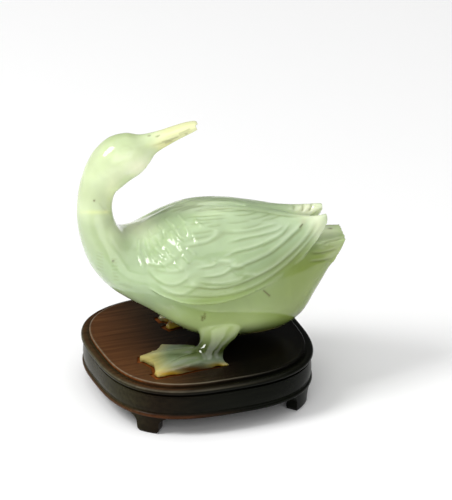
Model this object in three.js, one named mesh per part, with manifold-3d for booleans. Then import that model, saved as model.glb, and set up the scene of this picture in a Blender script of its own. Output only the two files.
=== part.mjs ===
// A carved jade duck that looks back over its own body, standing on a low hardwood stand.
// Millimetres, +Z up. The duck's breast is towards -X and its tail towards +X.

import * as THREE from "three";
import { mergeVertices } from "three/addons/utils/BufferGeometryUtils.js";
import Module from "manifold-3d";

// Stand: plan
const standLength = 100;
const standWidth = 100;
const standSquareness = 2.75;
const standSegments = 44;

// Stand: heights from the floor up
const standFootHeight = 8.6;
const apronHeight = 11.4;
const waistHeight = 1.2;
const rimThickness = 2.4;
const fieldRise = 1.5;

// Stand: how far each part of the profile lies inside the rim's edge
const fieldInset = 4.2;
const stepInset = 3.6;
const waistInset = 2.6;
const apronInset = 1.3;
const apronBulge = 0.4;
const beadHeight = 1.9;
const beadInset = 0.7;
const softEdge = 0.5;

// Stand: corner feet
const standFootWidth = 14.2;
const standFootToeWidth = 10;
const standFootAngle = 45;
const standFootDepth = 5.5;
const standFootTaper = 0.9;
const standFootTenon = 0.5;
const bracketReach = 4.5;
const bracketHeight = 1.6;

// Stand: sockets that take the duck's feet
const socketDepth = 1.0;
const socketClearance = 0.4;
const restGap = 0.3;

// Duck: overall length, and where and how it stands on the stand's top
const duckLength = 123;
const duckTurn = -10;
const duckOffsetX = -0.85;
const duckOffsetY = 0.3;

// The free forms below are drawn for a duck of this length, and scaled to duckLength
const drawnLength = 123;

const standHeight = standFootHeight + apronHeight + waistHeight + rimThickness + fieldRise;
const scale = duckLength / drawnLength;
const soleDepth = (socketDepth - restGap) / scale;

const wasm = await Module();
wasm.setup();

// Turns a closed three.js geometry into a solid, with its faces outwards
function solid(geometry) {
  const bare = geometry.index ? geometry.clone() : geometry;
  bare.deleteAttribute("normal");
  bare.deleteAttribute("uv");
  const merged = mergeVertices(bare, 1e-4);
  const places = merged.getAttribute("position");
  const index = merged.getIndex().array;
  const a = new THREE.Vector3();
  const b = new THREE.Vector3();
  const c = new THREE.Vector3();
  const faces = [];
  let volume = 0;
  for (let i = 0; i < index.length; i += 3) {
    const corners = [index[i], index[i + 1], index[i + 2]];
    if (new Set(corners).size === 3) {
      a.fromBufferAttribute(places, corners[0]);
      b.fromBufferAttribute(places, corners[1]);
      c.fromBufferAttribute(places, corners[2]);
      volume += a.dot(b.cross(c));
      faces.push(...corners);
    }
  }
  if (volume < 0) faces.reverse();
  return new wasm.Manifold(
    new wasm.Mesh({
      numProp: 3,
      vertProperties: new Float32Array(places.array),
      triVerts: new Uint32Array(faces),
    }),
  );
}

// Turns a solid back into a geometry
function geometryOf(body) {
  const mesh = body.getMesh();
  const geometry = new THREE.BufferGeometry();
  geometry.setAttribute("position", new THREE.BufferAttribute(new Float32Array(mesh.vertProperties), 3));
  geometry.setIndex(new THREE.BufferAttribute(new Uint32Array(mesh.triVerts), 1));
  geometry.computeVertexNormals();
  return geometry;
}

function mirrored(body) {
  return body.mirror([0, 1, 0]);
}

function joined(bodies) {
  return bodies.reduce((whole, next) => whole.add(next));
}

function mix(a, b, share) {
  return a + (b - a) * share;
}

// A smooth curve through a table's rows: row(0) is the first, row(1) the last
function smoothTable(rows) {
  const last = rows.length - 1;
  return (t) => {
    const at = Math.min(Math.max(t, 0), 1) * last;
    const i = Math.min(Math.floor(at), last - 1);
    const f = at - i;
    const before = rows[Math.max(i - 1, 0)];
    const from = rows[i];
    const to = rows[i + 1];
    const after = rows[Math.min(i + 2, last)];
    return from.map((v, k) => {
      const start = (to[k] - before[k]) / 2;
      const end = (after[k] - v) / 2;
      const rise = to[k] - v;
      return v + f * (start + f * (3 * rise - 2 * start - end + f * (start + end - 2 * rise)));
    });
  };
}

// A sphere's net laid over rings: ring(t, angle) gives the skin, and both ends are closed flat
function skinOver(ring, along, around) {
  const net = new THREE.SphereGeometry(1, around, along + 2);
  const uv = net.getAttribute("uv");
  const places = net.getAttribute("position");
  for (let i = 0; i < places.count; i++) {
    const row = Math.round((1 - uv.getY(i)) * (along + 2));
    const column = Math.round(uv.getX(i) * around) % around;
    const t = Math.min(Math.max((row - 1) / along, 0), 1);
    if (row === 0 || row === along + 2) {
      const one = ring(t, 0);
      const other = ring(t, Math.PI);
      places.setXYZ(i, ...one.map((v, k) => (v + other[k]) / 2));
    } else {
      places.setXYZ(i, ...ring(t, (column / around) * 2 * Math.PI));
    }
  }
  return net;
}

// The same with a box's net: place(u, v, w) takes shares from 0 to 1
function blockOver(place, alongU, alongV, alongW) {
  const net = new THREE.BoxGeometry(1, 1, 1, alongU, alongV, alongW);
  const places = net.getAttribute("position");
  for (let i = 0; i < places.count; i++) {
    places.setXYZ(i, ...place(places.getX(i) + 0.5, places.getY(i) + 0.5, places.getZ(i) + 0.5));
  }
  return net;
}

// Keeps a number's sign while its size is raised to a power, which squares off an ellipse
function squared(value, squareness) {
  return Math.sign(value) * Math.abs(value) ** (2 / squareness);
}

// Body, neck, head and bill in one run from the tail's end to the bill's tip. Each row is a section:
// upper point X and Z, lower point X and Z, half width, squareness, and how much wider it is above
const duckSections = [
  [67.8, 46.4, 66.0, 40.6, 7.4, 3.4, 0.1],
  [62.3, 46.8, 60.6, 32.0, 9.4, 2.8, 0.1],
  [55.5, 48.0, 54.2, 20.8, 14.0, 2.2, 0.08],
  [46.5, 51.8, 47.2, 9.8, 19.8, 2.05, 0.05],
  [36.0, 57.4, 37.3, 4.2, 25.2, 2, 0],
  [25.4, 61.4, 25.4, 2.4, 28.8, 2, 0],
  [12.0, 64.2, 12.5, 2.5, 30.6, 2, 0],
  [1.0, 64.8, 0.0, 4.2, 31.0, 2, 0],
  [-8.0, 63.2, -12.0, 11.4, 30.4, 2, 0],
  [-16.4, 59.0, -24.0, 20.0, 28.8, 1.9, 0],
  [-24.0, 55.4, -34.0, 26.4, 27.2, 1.85, 0],
  [-29.6, 54.2, -42.0, 32.8, 24.6, 1.9, 0],
  [-33.4, 55.8, -48.3, 41.2, 20.6, 1.95, 0],
  [-36.0, 60.0, -51.9, 51.0, 16.0, 2, 0],
  [-37.7, 65.4, -53.8, 61.6, 11.4, 2, 0],
  [-38.0, 71.0, -53.9, 70.6, 8.7, 2, 0],
  [-36.4, 76.6, -53.1, 78.2, 8.2, 2, 0],
  [-32.6, 80.0, -51.7, 84.0, 8.7, 2, 0],
  [-28.4, 83.2, -49.4, 90.4, 9.6, 2, 0],
  [-24.8, 85.4, -45.6, 96.8, 10.2, 2, 0],
  [-22.2, 88.0, -39.4, 102.2, 9.6, 2, 0],
  [-20.2, 90.8, -32.0, 104.0, 7.8, 2, 0],
  [-18.4, 93.6, -26.0, 103.0, 5.8, 2, 0],
  [-16.0, 95.4, -21.4, 103.4, 4.6, 2, 0],
  [-12.6, 97.6, -15.4, 104.4, 4.4, 2.2, 0],
  [-8.0, 100.4, -9.4, 105.8, 4.6, 2.3, 0],
  [-3.4, 102.6, -4.2, 107.0, 4.3, 2.4, 0],
  [0.6, 104.4, 0.2, 107.6, 3.4, 2.4, 0],
  [1.6, 105.2, 1.4, 107.2, 2.4, 2.4, 0],
];
const torsoSteps = 50;
const torsoSides = 26;

function duckTorso() {
  const section = smoothTable(duckSections);
  const ring = (t, angle) => {
    const [topX, topZ, lowX, lowZ, half, squareness, flare] = section(t);
    const up = squared(Math.cos(angle), squareness);
    const side = squared(Math.sin(angle), squareness) * half * (1 + flare * up);
    return [mix(lowX, topX, (1 + up) / 2), side, mix(lowZ, topZ, (1 + up) / 2)];
  };
  return skinOver(ring, torsoSteps, torsoSides);
}

// Wings, drawn for the one on the duck's -Y side: rows from the shoulder to the tip
const wingLowerEdge = [
  [-25.5, -13.5, 52.6],
  [-29.8, -20.5, 48.8],
  [-29.4, -25.0, 44.2],
  [-22.5, -29.6, 37.8],
  [-12.0, -32.2, 33.8],
  [0.0, -33.2, 32.4],
  [13.0, -32.0, 33.4],
  [26.0, -27.8, 36.2],
  [37.5, -21.2, 39.8],
  [47.0, -14.8, 44.2],
  [53.5, -10.8, 48.8],
  [57.8, -8.0, 53.6],
  [59.8, -6.4, 57.0],
];
const wingUpperEdge = [
  [-24.0, -9.0, 52.8],
  [-21.0, -9.0, 54.2],
  [-16.5, -8.0, 56.9],
  [-10.0, -6.2, 60.5],
  [-1.5, -4.0, 63.5],
  [7.0, -2.6, 64.8],
  [16.0, -2.0, 64.4],
  [25.5, -2.0, 62.6],
  [35.0, -3.0, 60.4],
  [44.0, -5.1, 58.8],
  [51.0, -6.4, 58.2],
  [56.0, -6.4, 58.3],
  [59.5, -5.6, 58.6],
];
const wingRootThickness = 7;
const wingTipThickness = 2.4;

// The wing on the +Y side is cut a little lower than the other
const farWingDrop = 0.25;

// Wing carving. Rows of coverts lie across the wing and turn into flight feathers that run out at the upper
// edge; widths are shares of the wing's width from its lower edge, and ends are shares of its length
const featherRows = [0, 0.11, 0.22, 0.33, 0.46, 0.62, 0.8, 1];
const featherEnds = [1, 0.93, 0.87, 0.82, 0.75, 0.68, 0.6];
const covertEnds = [0.4, 0.47, 0.48, 0.45, 0.46, 0.49, 0.45];
const covertRound = 0.045;
const covertSteps = 8;
const flightSteps = 11;
const stepFall = 0.1;
const flightStart = 0.36;
const flightSweep = 2.2;
const featherRise = 0.9;
const featherFall = 0.02;
const covertRise = 0.8;
const rowGap = 0.018;
const fullRow = 0.07;
const shoulderBlend = 0.38;
const shoulderSink = 3.2;
const shoulderTopSink = 0.7;
const tuckStart = 0.5;
const tipTuck = 0.8;
const shoulderSquareness = 1.55;
const wingSquareness = 1.97;

// Lower edge of a row of feathers at a share of the wing's length
function rowEdge(k, s) {
  if (k === 0 || k === featherRows.length - 1) return featherRows[k];
  const run = Math.min(Math.max((s - flightStart) / (featherEnds[k] - flightStart), 0), 1);
  const highest = 1 - rowGap * (featherRows.length - 1 - k);
  return mix(featherRows[k], highest, run ** flightSweep);
}

// Share of the wing's length at which a row's coverts end: round in the middle, with a notch at each border
function covertEnd(k, within) {
  if (within === 0.5) return covertEnds[k];
  const other = covertEnds[within === 0 ? Math.max(k - 1, 0) : Math.min(k + 1, covertEnds.length - 1)];
  return (covertEnds[k] + other) / 2 - covertRound;
}

// The wing's net: three lines to each row of feathers, and a line on each side of the coverts' ends
function duckWing() {
  const rows = covertEnds.length;
  const stations = covertSteps + 1 + flightSteps;
  const lower = smoothTable(wingLowerEdge);
  const upper = smoothTable(wingUpperEdge);
  const place = (u, v, depth) => {
    const line = Math.round(v * (3 * rows - 1));
    const k = Math.floor(line / 3);
    const within = (line % 3) / 2;
    const step = Math.round(u * stations);
    const end = covertEnd(k, within);
    const overCoverts = step <= covertSteps;
    const past = (step - covertSteps - 1 + stepFall) / (flightSteps + stepFall);
    const s = overCoverts ? (end * step) / covertSteps : mix(end, 1, past);
    const from = rowEdge(k, s);
    const to = rowEdge(k + 1, s);
    const t = mix(from, to, mix(featherFall, 1, within));
    const fullness = Math.min(1, (to - from) / fullRow);
    const feather = featherRise * (1 - within) * fullness + (overCoverts ? covertRise : 0);
    const shoulder = THREE.MathUtils.smoothstep(s, 0, shoulderBlend);
    const squareness = mix(shoulderSquareness, wingSquareness, shoulder);
    const tuck = tipTuck * THREE.MathUtils.smoothstep(s, tuckStart, 1);
    const low = lower(s);
    const top = upper(s);
    const angle = (t * (1 + tuck) * Math.PI) / 2;
    const sink = shoulderSink * (1 - shoulder) * mix(1 - shoulderTopSink, 1, t);
    const thickness = mix(wingRootThickness, wingTipThickness, s);
    const out = depth === 1 ? feather * shoulder - sink : -thickness;
    return [
      mix(low[0], top[0], t),
      mix(top[1], low[1], squared(Math.cos(angle), squareness)) - out * Math.cos(angle),
      mix(low[2], top[2], squared(Math.sin(angle), squareness)) + out * Math.sin(angle),
    ];
  };
  return blockOver(place, stations, 3 * rows - 1, 1);
}

// Tail feathers: layers under one another, each wider and shorter than the one above
const tailEnds = [68.2, 66.0, 63.6, 60.0];
const tailTop = 46.9;
const tailRoot = 44;
const tailLayerDepth = 4.5;
const tailHalfWidth = 8.3;
const tailStepOut = 0.35;
const tailRootSpread = 1.25;
const tailUndercut = 0.94;
const tailRootLift = 0.5;
const tailCrown = 0.9;

function tailLayer(k) {
  const place = (u, v, w) => {
    const end = w === 1 ? tailEnds[k] : tailEnds[k + 1];
    const half = (tailHalfWidth + tailStepOut * k) * mix(tailRootSpread, 1, u) * mix(tailUndercut, 1, w);
    const crown = tailCrown * (1 - (2 * v - 1) ** 2);
    const z = tailTop - tailLayerDepth * (k + 1 - w) + crown * w + tailRootLift * (1 - u);
    return [mix(tailRoot, end, u), half * (2 * v - 1), z];
  };
  return blockOver(place, 4, 6, 1);
}

// Legs and webbed feet, drawn for the -Y side. Leg rows: centre, then radius along X and Y
const ankle = [1.5, -26.4];
const legRows = [
  [1.5, -26.6, -0.5, 6.8, 5.4],
  [2.6, -26.0, 5.5, 6.3, 5.3],
  [6.6, -23.6, 11.0, 8.6, 6.0],
  [9.0, -18.5, 19.0, 12.5, 8.0],
];
const nearToes = [
  [-17.0, -9.2],
  [-28.5, -19.2],
  [-24.5, -36.8],
];
const farToes = [
  [-26.2, -10.4],
  [-28.3, -19.5],
  [-25.5, -34.5],
];
const farFootBack = 15;
const heel = [10.5, -31.6];
const innerWebEdge = [
  [5.5, -24.6],
  [-4.0, -20.0],
  [-9.5, -15.4],
];
const outerWebEdge = [
  [-13.5, -36.6],
  [-3.0, -33.4],
];
const webHollow = 0.1;
const webTipThickness = 2.6;
const webRootThickness = 5.6;
const heelThickness = 0.9;
const toeFade = 28;
const toeHalfWidth = 3.6;
const toeTaper = 0.3;
const toeBlunt = 0.35;
const toeHeight = 7.4;
const toeTipHeight = 3.4;
const toeSlope = 1.2;

function leg() {
  const row = smoothTable(legRows);
  const ring = (t, angle) => {
    const [x, y, z, alongX, alongY] = row(t);
    return [x + alongX * Math.cos(angle), y + alongY * Math.sin(angle), z];
  };
  return skinOver(ring, 6, 14);
}

// One toe: a low ridge from the ankle to its tip
function toe(tip) {
  const reach = Math.hypot(tip[0] - ankle[0], tip[1] - ankle[1]);
  const ahead = [(tip[0] - ankle[0]) / reach, (tip[1] - ankle[1]) / reach];
  const ring = (t, angle) => {
    const blunt = 1 - toeBlunt * t ** 6;
    const side = Math.cos(angle) * toeHalfWidth * (1 - toeTaper * t) * blunt;
    const height = mix(toeHeight, toeTipHeight, Math.min(toeSlope * t, 1)) * blunt;
    return [
      ankle[0] + ahead[0] * reach * t - ahead[1] * side,
      ankle[1] + ahead[1] * reach * t + ahead[0] * side,
      Math.max(Math.sin(angle), 0) * height - soleDepth,
    ];
  };
  return skinOver(ring, 6, 12);
}

// Outline of the foot, with shallow hollows between the toes
function footOutline(toes) {
  const [inner, middle, outer] = toes;
  const hollow = (a, b) => {
    const x = (a[0] + b[0]) / 2;
    const y = (a[1] + b[1]) / 2;
    return [mix(x, ankle[0], webHollow), mix(y, ankle[1], webHollow)];
  };
  const front = [inner, hollow(inner, middle), middle, hollow(middle, outer), outer];
  return [heel, ...innerWebEdge, ...front, ...outerWebEdge];
}

function web(toes) {
  const shape = new THREE.Shape(footOutline(toes).map(([x, y]) => new THREE.Vector2(x, y)));
  const slab = new THREE.ExtrudeGeometry(shape, { depth: 1, bevelEnabled: false });
  const places = slab.getAttribute("position");
  for (let i = 0; i < places.count; i++) {
    const away = Math.hypot(places.getX(i) - ankle[0], places.getY(i) - ankle[1]);
    const ahead = mix(webTipThickness, webRootThickness, Math.max(1 - away / toeFade, 0));
    const thickness = places.getX(i) < heel[0] ? ahead : heelThickness;
    places.setZ(i, places.getZ(i) > 0.5 ? thickness - soleDepth : -soleDepth);
  }
  return slab;
}

function duckFoot(toes) {
  return joined([solid(leg()), solid(web(toes)), ...toes.map((tip) => solid(toe(tip)))]);
}

function jadeDuck() {
  const wing = solid(duckWing());
  const layers = [];
  for (let k = 0; k < tailEnds.length - 1; k++) {
    layers.push(solid(tailLayer(k)));
  }
  const whole = joined([
    solid(duckTorso()),
    wing,
    mirrored(wing).translate([0, 0, -farWingDrop]),
    ...layers,
    duckFoot(nearToes),
    mirrored(duckFoot(farToes)).translate([farFootBack, 0, 0]),
  ]);
  return whole.scale([scale, scale, scale]);
}

// Radius of the stand's squared plan in one direction, for a profile point that lies inside the rim's edge
function planRadius(angle, inset) {
  const c = Math.abs(Math.cos(angle)) / (standLength / 2);
  const s = Math.abs(Math.sin(angle)) / (standWidth / 2);
  return (c ** standSquareness + s ** standSquareness) ** (-1 / standSquareness) - inset;
}

// The stand without its feet: a profile turned about its axis, with each point then moved to the squared plan
function standBlock() {
  const apronTop = standFootHeight + apronHeight;
  const waistTop = apronTop + waistHeight;
  const rimTop = waistTop + rimThickness;
  const turned = standLength / 2;
  const profile = [
    [turned, standFootHeight],
    [beadInset + 2 * softEdge, standFootHeight],
    [beadInset, mix(standFootHeight, standFootHeight + beadHeight, 0.35)],
    [beadInset, mix(standFootHeight, standFootHeight + beadHeight, 0.75)],
    [apronInset, standFootHeight + beadHeight],
    [apronInset - apronBulge, mix(standFootHeight, apronTop, 0.55)],
    [apronInset, apronTop - softEdge],
    [apronInset + softEdge, apronTop],
    [waistInset, apronTop],
    [waistInset, waistTop],
    [softEdge, waistTop],
    [0, mix(waistTop, rimTop, 0.4)],
    [softEdge, mix(waistTop, rimTop, 0.85)],
    [stepInset, rimTop],
    [fieldInset, standHeight - softEdge],
    [fieldInset + softEdge, standHeight],
    [turned, standHeight],
  ];
  const outline = profile.map(([inset, z]) => new THREE.Vector2(turned - inset, z));
  const net = new THREE.LatheGeometry(outline, standSegments);
  const places = net.getAttribute("position");
  for (let i = 0; i < places.count; i++) {
    const radius = Math.hypot(places.getX(i), places.getZ(i));
    const angle = Math.atan2(places.getZ(i), places.getX(i));
    const reach = radius < 1e-6 ? 0 : planRadius(angle, turned - radius);
    places.setXYZ(i, reach * Math.cos(angle), reach * Math.sin(angle), places.getY(i));
  }
  return net;
}

// A corner foot: a bracket that follows the plan's corner and narrows downwards
function standFoot(corner) {
  const arm = planRadius(corner, apronInset);
  const place = (u, v, w) => {
    const straight = mix(standFootToeWidth, standFootWidth, w);
    const bracket = w > 1 - bracketHeight / standFootHeight ? bracketReach * w ** 3 : 0;
    const angle = corner + ((u - 0.5) * (straight + 2 * bracket)) / arm;
    const inset = apronInset + standFootTaper * (1 - w) + (1 - v) * standFootDepth;
    const reach = planRadius(angle, inset);
    return [reach * Math.cos(angle), reach * Math.sin(angle), w * (standFootHeight + standFootTenon)];
  };
  return blockOver(place, 6, 1, 5);
}

// A socket for one foot: the foot's outline, wider by the toes' half width and the clearance
function socketCut(toes, side, back) {
  const outline = footOutline(toes).map(([x, y]) => new THREE.Vector2(x, y));
  const middle = outline.reduce((sum, p) => sum.add(p), new THREE.Vector2()).divideScalar(outline.length);
  const wider = toeHalfWidth + socketClearance / scale;
  const grown = outline.map((p) => {
    const reach = p.distanceTo(middle);
    const moved = p.clone().sub(middle).setLength(reach + wider).add(middle);
    return new THREE.Vector2(moved.x + back, moved.y * side);
  });
  const cut = new THREE.ExtrudeGeometry(new THREE.Shape(grown), { depth: 2 * socketDepth, bevelEnabled: false });
  cut.scale(scale, scale, 1);
  cut.rotateZ(THREE.MathUtils.degToRad(duckTurn));
  return cut.translate(duckOffsetX, duckOffsetY, standHeight - socketDepth);
}

function woodenStand() {
  const corner = THREE.MathUtils.degToRad(standFootAngle);
  const feet = [corner, Math.PI - corner, Math.PI + corner, -corner].map((angle) => solid(standFoot(angle)));
  const sockets = [solid(socketCut(nearToes, 1, 0)), solid(socketCut(farToes, -1, farFootBack))];
  return joined([solid(standBlock()), ...feet]).subtract(joined(sockets));
}

const jade = new THREE.MeshStandardMaterial({ color: 0xc3d6ad, roughness: 0.18, metalness: 0 });
const rosewood = new THREE.MeshStandardMaterial({ color: 0x3a1d14, roughness: 0.35, metalness: 0 });

const duck = new THREE.Mesh(geometryOf(jadeDuck()), jade);
duck.name = "jade_duck";
duck.position.set(duckOffsetX, duckOffsetY, standHeight);
duck.rotation.z = THREE.MathUtils.degToRad(duckTurn);

const stand = new THREE.Mesh(geometryOf(woodenStand()), rosewood);
stand.name = "wooden_stand";

// The whole is centred over the origin by its own box
const figure = new THREE.Group();
figure.add(duck, stand);
figure.updateMatrixWorld(true);
const centre = new THREE.Box3().setFromObject(figure, true).getCenter(new THREE.Vector3());
figure.position.set(-centre.x, -centre.y, 0);

export default figure;
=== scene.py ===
import math

import bmesh
import bpy
import numpy as np
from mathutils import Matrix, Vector


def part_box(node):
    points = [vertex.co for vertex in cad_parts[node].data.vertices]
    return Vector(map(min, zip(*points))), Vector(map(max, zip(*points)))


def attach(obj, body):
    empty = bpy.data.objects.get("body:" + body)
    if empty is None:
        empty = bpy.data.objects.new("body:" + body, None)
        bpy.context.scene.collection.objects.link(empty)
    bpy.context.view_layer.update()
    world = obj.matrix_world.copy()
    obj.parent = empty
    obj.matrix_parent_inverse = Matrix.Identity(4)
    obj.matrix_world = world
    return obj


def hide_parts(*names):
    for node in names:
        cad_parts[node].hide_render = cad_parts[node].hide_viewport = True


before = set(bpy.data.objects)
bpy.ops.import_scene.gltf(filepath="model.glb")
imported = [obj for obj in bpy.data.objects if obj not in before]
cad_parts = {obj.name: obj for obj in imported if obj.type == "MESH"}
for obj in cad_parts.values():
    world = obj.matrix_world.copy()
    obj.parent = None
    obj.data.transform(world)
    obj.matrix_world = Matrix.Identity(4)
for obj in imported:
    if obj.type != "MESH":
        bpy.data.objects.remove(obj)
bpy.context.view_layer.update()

# Camera. The photograph looks down on the figure by 26 degrees, from 20 degrees round to the breast's
# side, through a long lens. Its frame is 452 x 500 pixels, and a millimetre is 2.2 of them.
frame_width, frame_height = 452, 500
mm_per_metre = 1000
pixels_per_mm = 2.2
pixels_per_metre = pixels_per_mm * mm_per_metre
view_turn, view_drop = math.radians(-20), math.radians(26)
view_distance, view_end = 6.0, 20
sensor_height = 36
stand_pixel = (197, 336)
stand_low, stand_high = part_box("wooden_stand")
stand_centre = Vector(((stand_low.x + stand_high.x) / 2, (stand_low.y + stand_high.y) / 2, stand_high.z))
to_viewer = Vector((math.sin(view_turn) * math.cos(view_drop), -math.cos(view_turn) * math.cos(view_drop),
                    math.sin(view_drop)))
to_right = Vector((math.cos(view_turn), math.sin(view_turn), 0))
to_top = to_viewer.cross(to_right)
frame_middle = (stand_centre + to_right * (frame_width / 2 - stand_pixel[0]) / pixels_per_metre
                + to_top * (stand_pixel[1] - frame_height / 2) / pixels_per_metre)


def in_scene(name, data):
    """A new object in the scene that shows the data."""
    made = bpy.data.objects.new(name, data)
    bpy.context.scene.collection.objects.link(made)
    return made


camera_data = bpy.data.cameras.new("camera")
camera_data.sensor_fit = "VERTICAL"
camera_data.sensor_height = sensor_height
camera_data.lens = sensor_height * view_distance / (frame_height / pixels_per_metre)
camera_data.clip_end = view_end
camera = in_scene("camera", camera_data)
camera.location = frame_middle + to_viewer * view_distance
camera.rotation_euler = (-to_viewer).to_track_quat("-Z", "Y").to_euler()
bpy.context.scene.camera = camera
bpy.context.scene.view_settings.view_transform = "Standard"

# Jade duck. One pebble of pale celadon jade, cut, drilled and polished by hand: body, neck, head, bill,
# folded wings, tail, legs and webbed feet are one piece. It stands in two sockets by its own weight.
duck_turn = math.radians(-10)
duck_offset = (-0.85, 0.3)


def turned(x, y, turn):
    c, s = math.cos(turn), math.sin(turn)
    return c * x - s * y, s * x + c * y


def in_frame(points):
    """From the duck's own drawing, in millimetres above the stand's top, to the shared frame in metres."""
    x, y, z = np.asarray(points, float).T
    x, y = turned(x, y, duck_turn)
    return np.stack([x + duck_offset[0], y + duck_offset[1], z], 1) / mm_per_metre + np.array(stand_centre)


def in_drawing(points):
    """The way back, from the shared frame to the duck's own drawing."""
    x, y, z = ((np.asarray(points, float) - np.array(stand_centre)) * mm_per_metre).T
    x, y = turned(x - duck_offset[0], y - duck_offset[1], -duck_turn)
    return np.stack([x, y, z], 1)


def smooth_table(rows, t):
    """A smooth curve through a table's rows, from the first at 0 to the last at 1."""
    rows = np.asarray(rows, float)
    last = len(rows) - 1
    at = np.clip(t, 0, 1) * last
    i = np.minimum(at.astype(int), last - 1)
    f = (at - i)[:, None]
    before, start = rows[np.maximum(i - 1, 0)], rows[i]
    end, after = rows[i + 1], rows[np.minimum(i + 2, last)]
    leave, arrive, rise = (end - before) / 2, (after - start) / 2, end - start
    return start + f * (leave + f * (3 * rise - 2 * leave - arrive + f * (leave + arrive - 2 * rise)))


def ease(x, none, full):
    """0 up to none, 1 from full on, and a smooth rise between. Full may be the lower of the two."""
    u = np.clip((np.asarray(x, float) - none) / (full - none), 0, 1)
    return u * u * (3 - 2 * u)


def bell(away, width):
    """1 at no distance, and nearly 0 at twice the width."""
    return np.exp(-(away / width) ** 2)


def squared(value, squareness):
    """Squares off an ellipse: keeps the sign and raises the size to a power."""
    return np.sign(value) * np.abs(value) ** (2 / squareness)


def places(bm):
    return np.array([v.co for v in bm.verts], float).reshape(-1, 3)


def move_to(bm, points):
    for v, p in zip(bm.verts, points):
        v.co = p


def ringed(ring, along, around):
    """A ball's net whose rings are moved onto a form's sections, with both ends closed."""
    bm = bmesh.new()
    bmesh.ops.create_uvsphere(bm, u_segments=around, v_segments=along, radius=1)
    ball = places(bm)
    polar = np.arccos(np.clip(ball[:, 2], -1, 1)) / math.pi * along
    t = np.clip((polar - 1) / (along - 2), 0, 1)
    angle = np.arctan2(ball[:, 1], ball[:, 0])
    skin = ring(t, angle)
    opposite = ring(t, angle + math.pi)
    end = (polar < 0.5) | (polar > along - 0.5)
    skin[end] = (skin[end] + opposite[end]) / 2
    move_to(bm, skin)
    bmesh.ops.recalc_face_normals(bm, faces=bm.faces)
    return bm


def pulled_out(bm, faces):
    """Extrudes faces, and gives back the new vertices."""
    made = bmesh.ops.extrude_face_region(bm, geom=faces)["geom"]
    return [v for v in made if isinstance(v, bmesh.types.BMVert)]


def slab(place, along, across):
    """A sheet's net given a thickness and moved into a form: place(u, v, w) takes shares from 0 to 1."""
    bm = bmesh.new()
    bmesh.ops.create_grid(bm, x_segments=along, y_segments=across, size=0.5)
    bmesh.ops.translate(bm, verts=pulled_out(bm, bm.faces[:]), vec=(0, 0, 1))
    flat = places(bm)
    move_to(bm, place(flat[:, 0] + 0.5, flat[:, 1] + 0.5, flat[:, 2]))
    bmesh.ops.recalc_face_normals(bm, faces=bm.faces)
    return bm


# Body, neck, head and bill from the tail's end to the bill's tip: upper point X and Z, lower point X and Z,
# half width, squareness, and how much wider it is above
duck_sections = [
    (67.8, 46.4, 66.0, 40.6, 7.4, 3.4, 0.1), (62.3, 46.8, 60.6, 32.0, 9.4, 2.8, 0.1),
    (55.5, 48.0, 54.2, 20.8, 14.0, 2.2, 0.08), (46.5, 51.8, 47.2, 9.8, 19.8, 2.05, 0.05),
    (36.0, 57.4, 37.3, 4.2, 25.2, 2, 0), (25.4, 61.4, 25.4, 2.4, 28.8, 2, 0),
    (12.0, 64.2, 12.5, 2.5, 30.6, 2, 0), (1.0, 64.8, 0.0, 4.2, 31.0, 2, 0),
    (-8.0, 63.2, -12.0, 11.4, 30.4, 2, 0), (-16.4, 59.0, -24.0, 20.0, 28.8, 1.9, 0),
    (-24.0, 55.4, -34.0, 26.4, 27.2, 1.85, 0), (-29.6, 54.2, -42.0, 32.8, 24.6, 1.9, 0),
    (-33.4, 55.8, -48.3, 41.2, 20.6, 1.95, 0), (-36.0, 60.0, -51.9, 51.0, 16.0, 2, 0),
    (-37.7, 65.4, -53.8, 61.6, 11.4, 2, 0), (-38.0, 71.0, -53.9, 70.6, 8.7, 2, 0),
    (-36.4, 76.6, -53.1, 78.2, 8.2, 2, 0), (-32.6, 80.0, -51.7, 84.0, 8.7, 2, 0),
    (-28.4, 83.2, -49.4, 90.4, 9.6, 2, 0), (-24.8, 85.4, -45.6, 96.8, 10.2, 2, 0),
    (-22.2, 88.0, -39.4, 102.2, 9.6, 2, 0), (-20.2, 90.8, -32.0, 104.0, 7.8, 2, 0),
    (-18.4, 93.6, -26.0, 103.0, 5.8, 2, 0), (-16.0, 95.4, -21.4, 103.4, 4.6, 2, 0),
    (-12.6, 97.6, -15.4, 104.4, 4.4, 2.2, 0), (-8.0, 100.4, -9.4, 105.8, 4.6, 2.3, 0),
    (-3.4, 102.6, -4.2, 107.0, 4.3, 2.4, 0), (0.6, 104.4, 0.2, 107.6, 3.4, 2.4, 0),
    (1.6, 105.2, 1.4, 107.2, 2.4, 2.4, 0),
]
torso_net = (260, 120)


def torso_ring(t, angle):
    top_x, top_z, low_x, low_z, half, squareness, flare = smooth_table(duck_sections, t).T
    up = squared(np.cos(angle), squareness)
    side = squared(np.sin(angle), squareness) * half * (1 + flare * up)
    share = (1 + up) / 2
    return np.stack([low_x + (top_x - low_x) * share, side, low_z + (top_z - low_z) * share], 1)


# Wings: edges from the shoulder to the tip, drawn for the near side
wing_lower_edge = [
    (-25.5, -13.5, 52.6), (-29.8, -20.5, 48.8), (-29.4, -25.0, 44.2), (-22.5, -29.6, 37.8),
    (-12.0, -32.2, 33.8), (0.0, -33.2, 32.4), (13.0, -32.0, 33.4), (26.0, -27.8, 36.2), (37.5, -21.2, 39.8),
    (47.0, -14.8, 44.2), (53.5, -10.8, 48.8), (57.8, -8.0, 53.6), (59.8, -6.4, 57.0),
]
wing_upper_edge = [
    (-24.0, -9.0, 52.8), (-21.0, -9.0, 54.2), (-16.5, -8.0, 56.9), (-10.0, -6.2, 60.5), (-1.5, -4.0, 63.5),
    (7.0, -2.6, 64.8), (16.0, -2.0, 64.4), (25.5, -2.0, 62.6), (35.0, -3.0, 60.4), (44.0, -5.1, 58.8),
    (51.0, -6.4, 58.2), (56.0, -6.4, 58.3), (59.5, -5.6, 58.6),
]
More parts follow.
